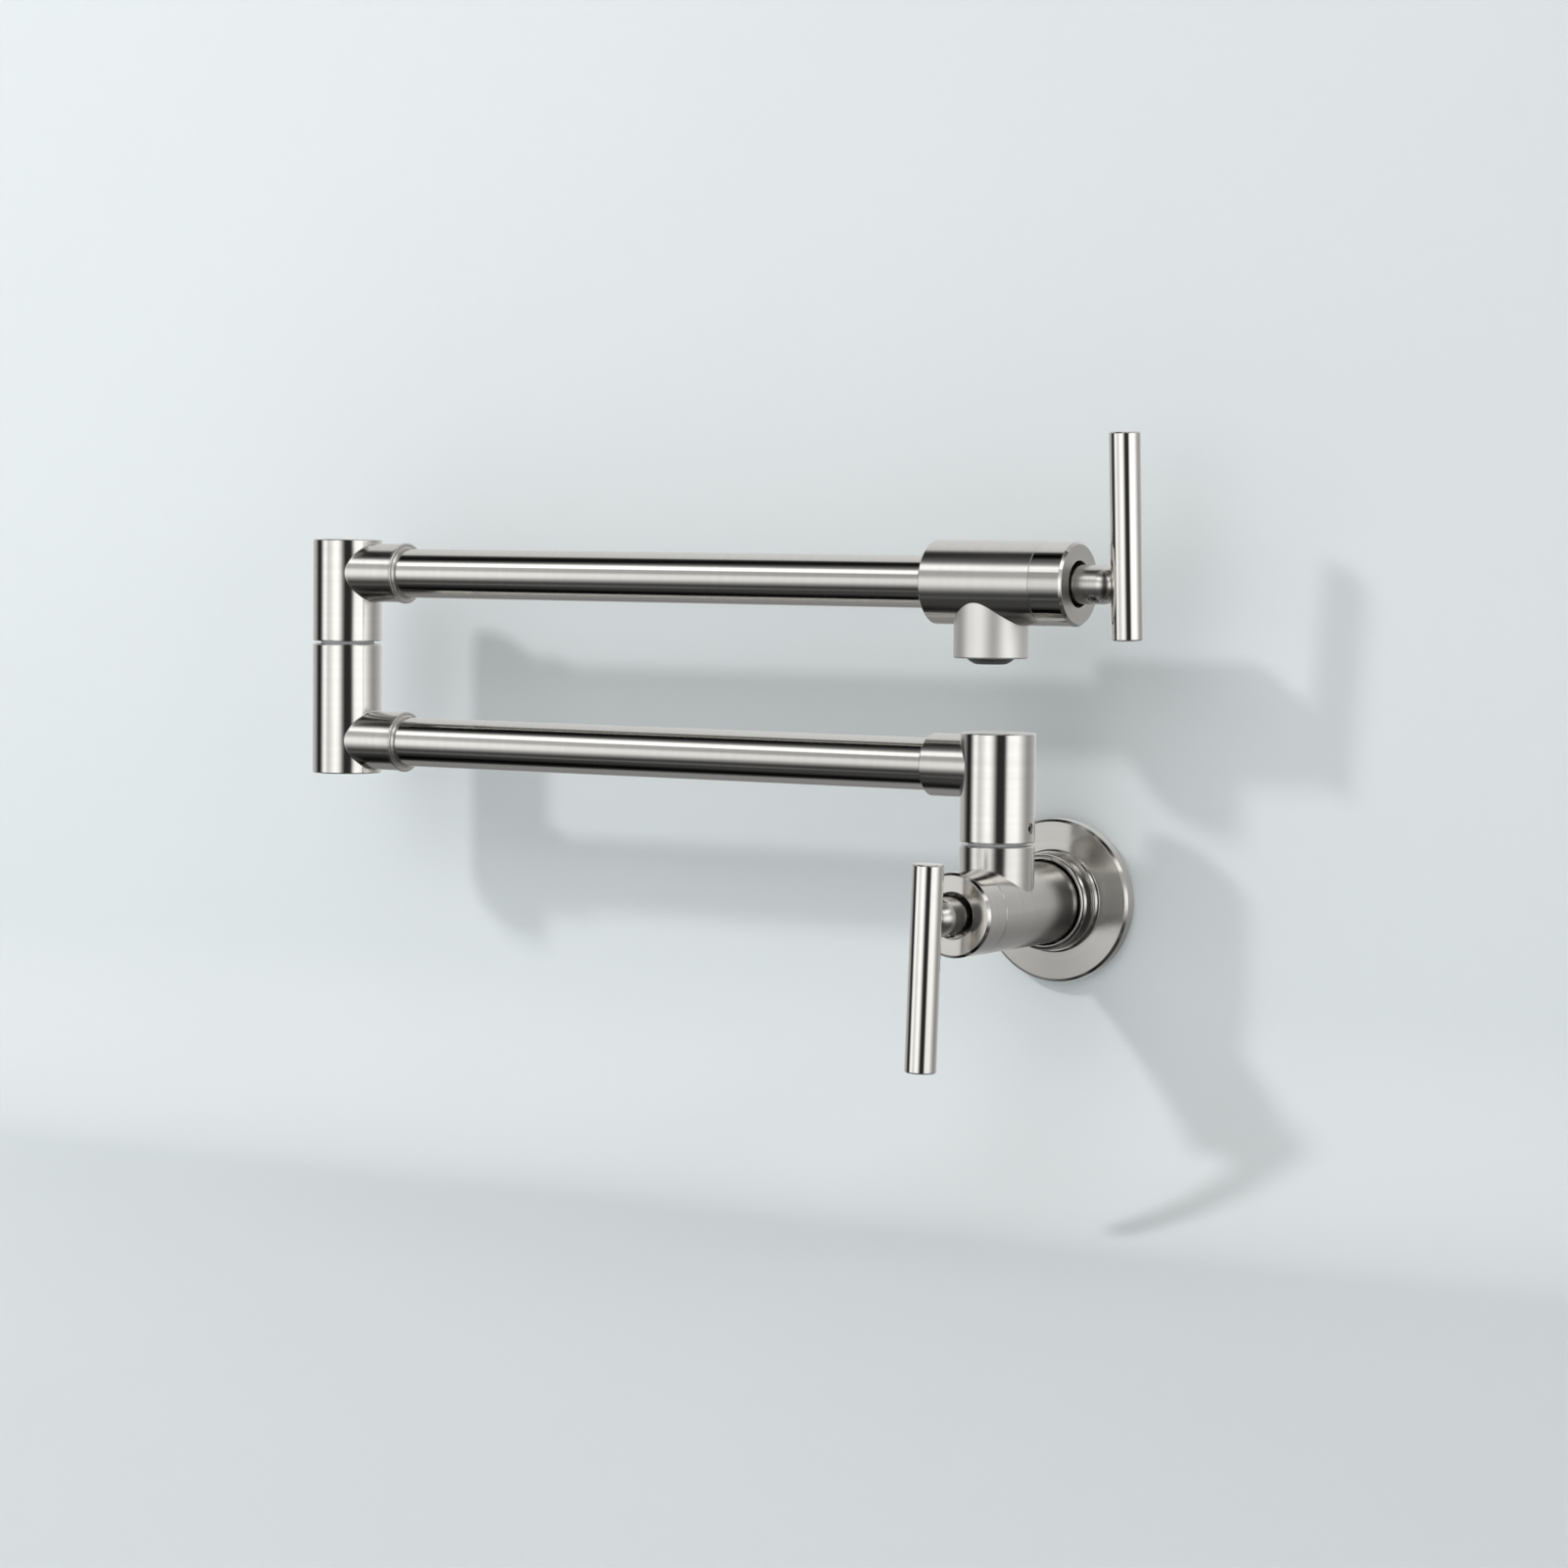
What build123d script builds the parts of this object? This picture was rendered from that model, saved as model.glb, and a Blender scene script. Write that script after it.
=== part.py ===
from build123d import *
from math import cos, radians, sin
import os

os.makedirs("parts", exist_ok=True)

# Pot filler on a wall: millimetres, +Z up, the wall is the plane y = 0 and the tap stands out along -Y.
# The origin is the middle of the wall flange. At rest the lower arm runs along -X and the upper arm
# is folded back above it along +X.

# Clearances, all round
braze_gap = 0.05  # tube in its socket
thread_gap = 0.05  # screwed joint
running_gap = 0.05  # turning shaft in its bore
seal_gap = 0.03  # O-ring to the wall that it seals on
slip_gap = 0.2  # loose seat
loose_gap = 0.3  # parts that pass without touching
edge_match = 1e-4  # how near an edge's radius is to the one looked for
edge_break = 0.4  # chamfer on the outer edges
seam_break = 0.15  # chamfer on both sides of the bonnet seam

# Arms
tube_od = 20.0
tube_wall = 1.0
arm_length = 306.0  # shoulder axis to elbow axis
socket_depth = 13.0  # tube inside a knuckle's collar
water_bore = 10.0  # passages of the valves and spigots

# Knuckles
knuckle_od = 28.4
collar_wall = 1.9  # collar round its tube
shoulder_land = 0.95  # collar to the closed end of the shoulder's knuckle
elbow_land = 1.7  # collar to the closed ends of the elbow's knuckles
shoulder_reach = 27.8  # knuckle axis to the collar's end face
elbow_reach = 30.4
bead_rise = 0.45  # ring at the end of the elbow's collars
bead_width = 1.0
lip_height = 0.6  # coned lip where a collar meets its tube
lip_edge = 0.1  # thickness of the lip at its tip
saddle_fillet = 0.4  # round where a collar meets its knuckle
knuckle_bore = 15.0  # cross passage from the swivel to the tube
riser_bore = 13.0  # upright passage of the elbow's lower knuckle
bore_end = 1.0  # upright bores run this far past the cross passage
swivel_rise = 28.2  # open face of a turning knuckle to its arm axis
elbow_rise = 39.6  # lower arm axis to the top of the elbow's lower knuckle

# Swivels
swivel_gap = 1.2  # open gap, filled by the washer
washer_od = 22.0
spigot_od = 19.0
spigot_thread_od = 17.0
spigot_thread = 12.0  # length screwed into the piece below
spigot_hex = 11.0  # across the flats of the assembly key
spigot_hex_depth = 4.0
spigot_lip = 3.0  # top of the spigot to its first O-ring groove
ring_section = 2.0  # O-ring wire
ring_groove = 2.4  # groove width
ring_pitch = 4.0
keeper_depth = 1.5  # groove that the knuckle's grub screw runs in
keeper_rise = 5.5  # grub screw above the knuckle's open face

# Grub screws
key_sides = 6
grub_od = 4.0
grub_key = 2.0  # across the flats
grub_key_depth = 1.6
grub_recess = 0.4  # below the surface it is in

# Wall flange
flange_od = 63.0
flange_rim = 5.4  # height of the rim
flange_chamfer = 1.0
flange_wall = 3.0  # rim round the hollow back
flange_skin = 2.6  # front over the hollow back
flange_crown = 0.5  # rise of the face from rim to hub
flange_bead = 2.3  # height of the step at the hub's foot
flange_bead_width = 1.2  # step beyond the hub
flange_bead_chamfer = 0.6
flange_hub_wall = 2.0  # hub round its bore
flange_hub_land = 0.2  # flat ring between the bore and the rounded edge
flange_hub = 15.3  # height of the hub
flange_gap = 0.8  # open gap between the hub and the valve body
flange_ring_section = 1.6
flange_ring_rise = 10.2  # O-ring above the wall
gasket_width = 7.0

# Valves
body_od = 31.8
shoulder_out = 52.1  # wall to the shoulder axis
shoulder_front = 20.5  # shoulder axis to the bonnet seam
boss_top = 24.2  # valve axis to the top of the boss
inlet_thread_od = 18.6  # half-inch pipe thread, inside diameter
inlet_thread = 16.0
spout_reach = 302.3  # elbow axis to the nozzle axis
spout_front = 23.4  # nozzle axis to the bonnet seam
spout_back = 23.2  # nozzle axis to the back of the spout body
spout_socket = 8.6  # tube inside the spout body
nozzle_od = 28.2
nozzle_drop = 28.2  # spout axis to the nozzle's end
outlet_bore = 12.0

# Bonnets
bonnet_width = 13.6
bonnet_thread = 6.0  # length screwed into the body
bonnet_thread_od = 25.2
bonnet_web = 4.0  # seam to the floor of the front recess
bonnet_recess_od = 17.4
bonnet_chamfer = 1.0
neck_gap = 0.5  # cartridge neck in the bonnet

# Cartridges
chamber_od = 21.0
cartridge_flange = 3.0
cartridge_land = 6.0  # sealing land under the flange
cartridge_od = 17.6
cartridge_neck_od = 15.0
cartridge_roof = 5.0
cartridge_skin = 1.1  # wall round the discs
window_height = 5.0
window_width = 9.0
disc_height = 3.0
port_od = 4.4
port_radius = 3.7
port_count = 2
seal_height = 3.0
seal_wall = 1.8
cartridge_ring_section = 1.9

# Stems
stem_od = 8.0
stem_top = 23.0  # seam to the end of the stem
drive_sides = 12
drive_across = 7.4  # many-sided end, across the corners
driver_width = 5.0
driver_length = 13.0
driver_engage = 1.0  # driver inside the moving disc's slot

# Handles
hub_od = 14.6
hub_start = 6.0  # seam to the inner end of the hub
hub_length = 9.8  # bonnet face to the foot of the dome
hub_grub = 8.2  # bonnet face to the grub screw
bar_od = 11.8
bar_length = 76.8
bar_stand = 19.5  # bonnet face to the bar's axis
bar_offset = 18.0  # middle of the bar from the valve axis
bar_edge = 0.5
tenon_od = 8.0
tenon_stop = 0.6  # end of the tenon short of the bar's axis
wall_bar_angle = 178.3  # long end, turned from the outlet's side
spout_bar_angle = 183.5
wall_grub_angle = 215.0
spout_grub_angle = -42.0

# Aerator
aerator_od = 18.4
aerator_seat = 10.0  # depth of the nozzle's thread
aerator_proud = 2.3
aerator_bulge = 0.25  # rise of the domed end above a plain cone
aerator_rim = 0.5  # flat ring round the mouth
aerator_mouth_od = 10.4
aerator_lip = 1.6  # inner lip that carries the screen
aerator_lip_width = 0.5
aerator_washer_height = 1.5
screen_height = 2.4
screen_recess = 0.8
screen_hole_od = 1.4
screen_rings = ((2.0, 6), (3.9, 12))  # radius and number of holes

# Places that follow from the sizes
collar_mouth = tube_od / 2 + braze_gap
collar_od = 2 * (collar_mouth + collar_wall)
bead_od = collar_od + 2 * bead_rise
shoulder_face = boss_top + swivel_gap
lower_axis = shoulder_face + swivel_rise
elbow_top = lower_axis + elbow_rise
elbow_face = elbow_top + swivel_gap
upper_axis = elbow_face + swivel_rise
spigot_bore_od = spigot_od + 2 * running_gap
spigot_height = swivel_gap + swivel_rise - knuckle_bore / 2 - loose_gap
keeper_od = spigot_od - 2 * keeper_depth
barrel = 2 * disc_height + window_height + cartridge_roof
flange_foot = bonnet_thread + cartridge_flange
land_foot = flange_foot + cartridge_land
barrel_foot = land_foot + barrel
chamber_depth = barrel_foot + seal_height
disc_od = cartridge_od - 2 * cartridge_skin - 2 * running_gap
counterbore_od = bonnet_thread_od + 2 * thread_gap
bar_rise = bonnet_width + bar_stand
dome_rise = bonnet_width + hub_length

# Local frames: the Z axis of a swivel points up and its X axis along the arm; the Z axis of a valve
# points out of the bonnet, from the seam, and its X axis towards the outlet.
wall_frame = Plane((0, 0, 0), x_dir=(1, 0, 0), z_dir=(0, -1, 0))
boss_frame = Plane((0, -shoulder_out, boss_top), x_dir=(-1, 0, 0), z_dir=(0, 0, 1))
shoulder_frame = Plane((0, -shoulder_out, shoulder_face), x_dir=(-1, 0, 0), z_dir=(0, 0, 1))
elbow_top_frame = Plane((-arm_length, -shoulder_out, elbow_top), x_dir=(1, 0, 0), z_dir=(0, 0, 1))
elbow_frame = Plane((-arm_length, -shoulder_out, elbow_face), x_dir=(1, 0, 0), z_dir=(0, 0, 1))
wall_valve = Plane((0, -shoulder_out - shoulder_front, 0), x_dir=(0, 0, 1), z_dir=(0, -1, 0))
nozzle_x = spout_reach - arm_length
spout_valve = Plane(
    (nozzle_x + spout_front, -shoulder_out, upper_axis), x_dir=(0, 0, -1), z_dir=(1, 0, 0)
)
nozzle_frame = Plane(
    (nozzle_x, -shoulder_out, upper_axis - nozzle_drop), x_dir=(1, 0, 0), z_dir=(0, 0, -1)
)


def save(piece, name):
    piece.part.label = name
    export_step(piece.part, f"parts/{name}.step")


def section(frame):
    """Plane through the frame's axis: X is the radius and Y runs along the axis."""
    return Plane(frame.origin, x_dir=frame.x_dir, z_dir=-frame.y_dir)


def axis_of(frame):
    return Axis(frame.origin, frame.z_dir)


def sideways(frame, rise, turn=0.0):
    """Frame on the axis at the given height whose Z axis points out sideways, turned from X."""
    outward = frame.x_dir * cos(radians(turn)) + frame.y_dir * sin(radians(turn))
    return Plane(frame.origin + frame.z_dir * rise, x_dir=frame.z_dir, z_dir=outward)


def round_edges(piece, diameter):
    """Circular edges of one diameter."""
    return piece.edges().filter_by(GeomType.CIRCLE).filter_by(
        lambda edge: abs(edge.radius - diameter / 2) < edge_match
    )


def saddle_edges(piece):
    """Edges that are neither circles nor straight: where two round bars cross."""
    bent = piece.edges().filter_by(GeomType.CIRCLE, reverse=True)
    return bent.filter_by(GeomType.LINE, reverse=True)


def ring(frame, inner, outer, height):
    """Flat ring standing on the frame."""
    with BuildPart() as piece:
        with BuildSketch(frame):
            Circle(outer / 2)
            Circle(inner / 2, mode=Mode.SUBTRACT)
        extrude(amount=height)
    return piece


def o_rings(frame, middle, wire, rises):
    """Round-section rings on one axis, by their middle diameter and wire."""
    with BuildPart() as piece:
        with BuildSketch(section(frame)):
            with Locations(*[(middle / 2, rise) for rise in rises]):
                Circle(wire / 2)
        revolve(axis=axis_of(frame))
    return piece


# Grub screw with its key socket: the frame's origin is on the axis of what it clamps.
def grub_screw(frame, tip, head):
    with BuildPart() as piece:
        with BuildSketch(frame.offset(tip)):
            Circle(grub_od / 2)
        extrude(amount=head - tip)
        chamfer(piece.edges().filter_by(GeomType.CIRCLE), edge_break / 2)
        with BuildSketch(frame.offset(head)):
            RegularPolygon(grub_key / 2, key_sides, major_radius=False)
        extrude(amount=-grub_key_depth, mode=Mode.SUBTRACT)
    return piece


# Collar along an arm axis: a ring of the given diameter at its end, and a coned lip round its mouth.
def collar(arm, reach, end_od):
    with BuildPart() as piece:
        with BuildSketch(arm):
            Circle(collar_od / 2)
        extrude(amount=reach)
        with BuildSketch(arm.offset(reach - bead_width)):
            Circle(end_od / 2)
        extrude(amount=bead_width)
        chamfer(round_edges(piece, end_od).sort_by(axis_of(arm))[-1], edge_break)
        with BuildSketch(section(arm)):
            with BuildLine():
                Polyline(
                    (0, reach),
                    (collar_mouth + lip_height, reach),
                    (collar_mouth + lip_edge, reach + lip_height),
                    (0, reach + lip_height),
                    close=True,
                )
            make_face()
        revolve(axis=axis_of(arm))
    return piece


# Knuckle that turns on a spigot: bored from below, closed on top, with a collar for its tube.
def turning_knuckle(frame, land, reach, end_od):
    arm = sideways(frame, swivel_rise)
    keeper = sideways(frame, keeper_rise, 180)
    with BuildPart() as piece:
        with BuildSketch(frame):
            Circle(knuckle_od / 2)
        extrude(amount=swivel_rise + collar_od / 2 + land)
        add(collar(arm, reach, end_od).part)
        fillet(saddle_edges(piece), saddle_fillet)
        with BuildSketch(frame):
            Circle(spigot_bore_od / 2)
        extrude(amount=swivel_rise + knuckle_bore / 2 + bore_end, mode=Mode.SUBTRACT)
        with BuildSketch(arm):
            Circle(knuckle_bore / 2)
        extrude(amount=reach, mode=Mode.SUBTRACT)
        with BuildSketch(arm.offset(reach - socket_depth)):
            Circle(collar_mouth)
        extrude(amount=socket_depth + lip_height, mode=Mode.SUBTRACT)
        with BuildSketch(keeper):
            Circle(grub_od / 2 + thread_gap)
        extrude(amount=knuckle_od, mode=Mode.SUBTRACT)
        chamfer(round_edges(piece, knuckle_od), edge_break)
    return piece


# Elbow's lower knuckle: closed below, tapped on top for the elbow spigot.
def carrying_knuckle(frame):
    arm = sideways(frame, -elbow_rise)
    with BuildPart() as piece:
        with BuildSketch(frame):
            Circle(knuckle_od / 2)
        extrude(amount=-elbow_rise - collar_od / 2 - elbow_land)
        add(collar(arm, elbow_reach, bead_od).part)
        fillet(saddle_edges(piece), saddle_fillet)
        with BuildSketch(frame):
            Circle(riser_bore / 2)
        extrude(amount=-elbow_rise - knuckle_bore / 2 - bore_end, mode=Mode.SUBTRACT)
        with BuildSketch(frame):
            Circle(spigot_thread_od / 2 + thread_gap)
        extrude(amount=-spigot_thread, mode=Mode.SUBTRACT)
        with BuildSketch(arm):
            Circle(knuckle_bore / 2)
        extrude(amount=elbow_reach, mode=Mode.SUBTRACT)
        with BuildSketch(arm.offset(elbow_reach - socket_depth)):
            Circle(collar_mouth)
        extrude(amount=socket_depth + lip_height, mode=Mode.SUBTRACT)
        chamfer(round_edges(piece, knuckle_od), edge_break)
    return piece


# Spigot screwed into the piece below: two O-ring grooves, and a groove for the keeper screw.
ring_rises = [
    spigot_height - spigot_lip - ring_groove / 2,
    spigot_height - spigot_lip - ring_groove / 2 - ring_pitch,
]
ring_floor = spigot_bore_od - 2 * ring_section - 4 * seal_gap
keeper_width = grub_od + 2 * loose_gap


def spigot(frame):
    with BuildPart() as piece:
        with BuildSketch(frame):
            Circle(spigot_od / 2)
        extrude(amount=spigot_height)
        chamfer(round_edges(piece, spigot_od).sort_by(axis_of(frame))[-1], edge_break)
        with BuildSketch(frame):
            Circle(spigot_thread_od / 2)
        extrude(amount=-spigot_thread)
        with BuildSketch(frame.offset(-spigot_thread)):
            Circle(water_bore / 2)
        extrude(amount=spigot_thread + spigot_height, mode=Mode.SUBTRACT)
        with BuildSketch(frame.offset(spigot_height)):
            RegularPolygon(spigot_hex / 2, key_sides, major_radius=False)
        extrude(amount=-spigot_hex_depth, mode=Mode.SUBTRACT)
        with BuildSketch(section(frame)):
            with Locations((spigot_od / 2, swivel_gap + keeper_rise)):
                Rectangle(2 * keeper_depth, keeper_width)
            with Locations(*[(spigot_od / 2, rise) for rise in ring_rises]):
                Rectangle(spigot_od - ring_floor, ring_groove)
        revolve(axis=axis_of(frame), mode=Mode.SUBTRACT)
    return piece


def tube(start, end):
    """Arm tube along X between two socket floors."""
    with BuildPart() as piece:
        with BuildSketch(Plane(start, x_dir=(0, 1, 0), z_dir=(1, 0, 0))):
            Circle(tube_od / 2)
            Circle(tube_od / 2 - tube_wall, mode=Mode.SUBTRACT)
        extrude(amount=end - start[0])
    return piece


# Hollow of a valve body: water bore from the back, cartridge chamber and bonnet thread.
def valve_hollow(valve, back):
    with BuildPart() as piece:
        with BuildSketch(valve.offset(-back)):
            Circle(water_bore / 2)
        extrude(amount=back)
        with BuildSketch(valve.offset(-chamber_depth)):
            Circle(chamber_od / 2)
        extrude(amount=chamber_depth)
        with BuildSketch(valve.offset(-flange_foot)):
            Circle(counterbore_od / 2)
        extrude(amount=flange_foot)
    return piece


# Wall flange: hollow-backed disc with a stepped hub, and a groove inside the hub for its O-ring.
flange_face = flange_rim + flange_crown
flange_bore = body_od / 2 + flange_gap
flange_hub_od = 2 * (flange_bore + flange_hub_wall)
flange_bead_od = flange_hub_od + 2 * flange_bead_width
flange_bead_top = flange_face + flange_bead
flange_hub_round = flange_hub_wall - flange_hub_land
flange_ring_middle = body_od + flange_ring_section + 2 * seal_gap
flange_groove = flange_ring_middle / 2 + flange_ring_section / 2 + seal_gap
cup_od = flange_od - 2 * flange_wall
cup_depth = flange_rim - flange_skin

with BuildPart() as wall_flange:
    with BuildSketch(section(wall_frame)):
        with BuildLine():
            Polyline(
                (flange_hub_od / 2 - flange_hub_round, flange_hub),
                (flange_bore, flange_hub),
                (flange_bore, cup_depth),
                (cup_od / 2, cup_depth),
                (cup_od / 2, 0),
                (flange_od / 2, 0),
                (flange_od / 2, flange_rim - flange_chamfer),
                (flange_od / 2 - flange_chamfer, flange_rim),
                (flange_bead_od / 2, flange_face),
                (flange_bead_od / 2, flange_bead_top - flange_bead_chamfer),
                (flange_bead_od / 2 - flange_bead_chamfer, flange_bead_top),
                (flange_hub_od / 2, flange_bead_top),
                (flange_hub_od / 2, flange_hub - flange_hub_round),
            )
            CenterArc(
                (flange_hub_od / 2 - flange_hub_round, flange_hub - flange_hub_round),
                flange_hub_round,
                0,
                90,
            )
        make_face()
        with Locations((flange_bore, flange_ring_rise)):
            Rectangle(
                2 * (flange_groove - flange_bore),
                flange_ring_section + 2 * slip_gap,
                mode=Mode.SUBTRACT,
            )
    revolve(axis=axis_of(wall_frame))
save(wall_flange, "wall_flange")

flange_gasket = ring(
    wall_frame, cup_od - 2 * slip_gap - 2 * gasket_width, cup_od - 2 * slip_gap, cup_depth
)
save(flange_gasket, "flange_gasket")

flange_o_ring = o_rings(wall_frame, flange_ring_middle, flange_ring_section, [flange_ring_rise])
save(flange_o_ring, "flange_o_ring")

# Wall valve body: a bar along the wall's normal with the shoulder boss standing on it.
wall_seam = shoulder_out + shoulder_front

with BuildPart() as inlet_body:
    with BuildSketch(wall_frame):
        Circle(body_od / 2)
    extrude(amount=wall_seam)
    chamfer(inlet_body.edges().sort_by(Axis.Y)[0], seam_break)
    with BuildSketch(boss_frame):
        Circle(knuckle_od / 2)
    extrude(amount=-boss_top)
    chamfer(round_edges(inlet_body, knuckle_od).sort_by(Axis.Z)[-1], edge_break)
    add(valve_hollow(wall_valve, wall_seam).part, mode=Mode.SUBTRACT)
    with BuildSketch(wall_frame):
        Circle(inlet_thread_od / 2)
    extrude(amount=inlet_thread, mode=Mode.SUBTRACT)
    with BuildSketch(boss_frame):
        Circle(outlet_bore / 2)
    extrude(amount=-boss_top, mode=Mode.SUBTRACT)
    with BuildSketch(boss_frame):
        Circle(spigot_thread_od / 2 + thread_gap)
    extrude(amount=-spigot_thread, mode=Mode.SUBTRACT)
save(inlet_body, "inlet_body")

# Spout body: socket for the upper arm at its back, nozzle below.
spout_seam = spout_back + spout_front
aerator_bore = aerator_od + 2 * thread_gap

with BuildPart() as spout_body:
    with BuildSketch(spout_valve):
        Circle(body_od / 2)
    extrude(amount=-spout_seam)
    chamfer(spout_body.edges().sort_by(Axis.X)[-1], seam_break)
    chamfer(spout_body.edges().sort_by(Axis.X)[0], edge_break)
    with BuildSketch(nozzle_frame):
        Circle(nozzle_od / 2)
    extrude(amount=-nozzle_drop)
    chamfer(round_edges(spout_body, nozzle_od).sort_by(Axis.Z)[0], edge_break)
    add(valve_hollow(spout_valve, spout_seam).part, mode=Mode.SUBTRACT)
    with BuildSketch(spout_valve.offset(-spout_seam)):
        Circle(tube_od / 2 + braze_gap)
    extrude(amount=spout_socket, mode=Mode.SUBTRACT)
    with BuildSketch(nozzle_frame):
        Circle(outlet_bore / 2)
    extrude(amount=-nozzle_drop, mode=Mode.SUBTRACT)
    with BuildSketch(nozzle_frame):
        Circle(aerator_bore / 2)
    extrude(amount=-aerator_seat, mode=Mode.SUBTRACT)
save(spout_body, "spout_body")

# Shoulder and elbow: knuckles, spigots, seals, washers and keeper screws.
shoulder_knuckle = turning_knuckle(shoulder_frame, shoulder_land, shoulder_reach, collar_od)
save(shoulder_knuckle, "shoulder_knuckle")
save(carrying_knuckle(elbow_top_frame), "elbow_lower_knuckle")
elbow_upper_knuckle = turning_knuckle(elbow_frame, elbow_land, elbow_reach, bead_od)
save(elbow_upper_knuckle, "elbow_upper_knuckle")

ring_middle = spigot_bore_od - 2 * seal_gap - ring_section

for name, carrier, knuckle in (
    ("shoulder", boss_frame, shoulder_frame),
    ("elbow", elbow_top_frame, elbow_frame),
):
    save(spigot(carrier), f"{name}_spigot")
    save(o_rings(carrier, ring_middle, ring_section, ring_rises), f"{name}_o_rings")
    save(ring(carrier, spigot_od + 2 * slip_gap, washer_od, swivel_gap), f"{name}_washer")
    keeper = sideways(knuckle, keeper_rise, 180)
    keeper_screw = grub_screw(keeper, keeper_od / 2 + loose_gap, knuckle_od / 2 - grub_recess)
    save(keeper_screw, f"{name}_grub_screw")

# Arm tubes, between the floors of their sockets.
elbow_end = -arm_length + elbow_reach - socket_depth
shoulder_end = -shoulder_reach + socket_depth
save(tube((elbow_end, -shoulder_out, lower_axis), shoulder_end), "lower_arm_tube")
spout_end = nozzle_x - spout_back + spout_socket
save(tube((elbow_end, -shoulder_out, upper_axis), spout_end), "upper_arm_tube")


# Bonnet ring: screwed into the body, with a front recess for the handle's hub.
def bonnet(valve):
    with BuildPart() as piece:
        with BuildSketch(valve):
            Circle(body_od / 2)
        extrude(amount=bonnet_width)
        chamfer(piece.edges().sort_by(axis_of(valve))[-1], bonnet_chamfer)
        chamfer(piece.edges().sort_by(axis_of(valve))[0], seam_break)
        with BuildSketch(valve):
            Circle(bonnet_thread_od / 2)
        extrude(amount=-bonnet_thread)
        with BuildSketch(valve.offset(-bonnet_thread)):
            Circle(cartridge_neck_od / 2 + neck_gap)
        extrude(amount=bonnet_thread + bonnet_width, mode=Mode.SUBTRACT)
        with BuildSketch(valve.offset(bonnet_web)):
            Circle(bonnet_recess_od / 2)
        extrude(amount=bonnet_width - bonnet_web, mode=Mode.SUBTRACT)
        chamfer(round_edges(piece, bonnet_recess_od).sort_by(axis_of(valve))[-1], edge_break / 2)
    return piece


# Cartridge body: clamped by its flange, sealed on its land, open at the foot for the two discs.
cartridge_cavity = cartridge_od - 2 * cartridge_skin
cartridge_ring_middle = chamber_od - 2 * seal_gap - cartridge_ring_section
cartridge_ring_floor = cartridge_ring_middle - cartridge_ring_section - 2 * seal_gap
land_od = chamber_od - 2 * slip_gap
land_ring = -flange_foot - cartridge_land / 2
disc_top = -barrel_foot + 2 * disc_height


def cartridge_body(valve):
    with BuildPart() as piece:
        with BuildSketch(valve.offset(-barrel_foot)):
            Circle(cartridge_od / 2)
        extrude(amount=barrel)
        with BuildSketch(valve.offset(-land_foot)):
            Circle(land_od / 2)
        extrude(amount=cartridge_land)
        with BuildSketch(valve.offset(-flange_foot)):
            Circle(counterbore_od / 2 - slip_gap)
        extrude(amount=cartridge_flange)
        with BuildSketch(valve.offset(-bonnet_thread)):
            Circle(cartridge_neck_od / 2)
        extrude(amount=bonnet_thread + bonnet_web)
        with BuildSketch(section(valve)):
            with Locations((land_od / 2, land_ring)):
                Rectangle(land_od - cartridge_ring_floor, cartridge_ring_section + 2 * slip_gap)
        revolve(axis=axis_of(valve), mode=Mode.SUBTRACT)
        with BuildSketch(valve.offset(-barrel_foot)):
            Circle(cartridge_cavity / 2)
        extrude(amount=2 * disc_height + window_height, mode=Mode.SUBTRACT)
        with BuildSketch(valve.offset(-barrel_foot)):
            Circle(stem_od / 2 + running_gap)
        extrude(amount=barrel_foot + bonnet_web, mode=Mode.SUBTRACT)
        with BuildSketch(section(valve)):
            with Locations((0, disc_top + window_height / 2)):
                Rectangle(window_width, window_height)
        extrude(amount=cartridge_od, both=True, mode=Mode.SUBTRACT)
    return piece


# Ceramic disc with two ports, turned about the valve axis.
def ported_disc(valve, foot, turn):
    with BuildPart() as piece:
        with BuildSketch(valve.offset(foot)):
            Circle(disc_od / 2)
            with PolarLocations(port_radius, port_count, start_angle=turn):
                Circle(port_od / 2, mode=Mode.SUBTRACT)
        extrude(amount=disc_height)
    return piece


def moving_disc(valve):
    with BuildPart() as piece:
        add(ported_disc(valve, -barrel_foot + disc_height, 90).part)
        with BuildSketch(valve.offset(disc_top)):
            Rectangle(driver_length + 2 * slip_gap, driver_width + 2 * slip_gap)
        extrude(amount=-driver_engage, mode=Mode.SUBTRACT)
    return piece


# Stem: driver bar in the moving disc's slot, round shaft in the neck, many-sided end in the hub.
def stem(valve):
    with BuildPart() as piece:
        with BuildSketch(valve.offset(disc_top - driver_engage)):
            Rectangle(driver_length, driver_width)
        extrude(amount=driver_engage + window_height - loose_gap)
        with BuildSketch(valve.offset(disc_top)):
            Circle(stem_od / 2)
        extrude(amount=bonnet_web - disc_top)
        with BuildSketch(valve.offset(bonnet_web)):
            RegularPolygon(drive_across / 2, drive_sides)
        extrude(amount=stem_top - bonnet_web)
    return piece


def handle_frame(valve, turn):
    """Frame on the bar's axis: Z along the valve axis, X towards the bar's long end."""
    long_end = sideways(valve, bar_rise, turn)
    return Plane(long_end.origin, x_dir=long_end.z_dir, z_dir=valve.z_dir)


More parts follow.
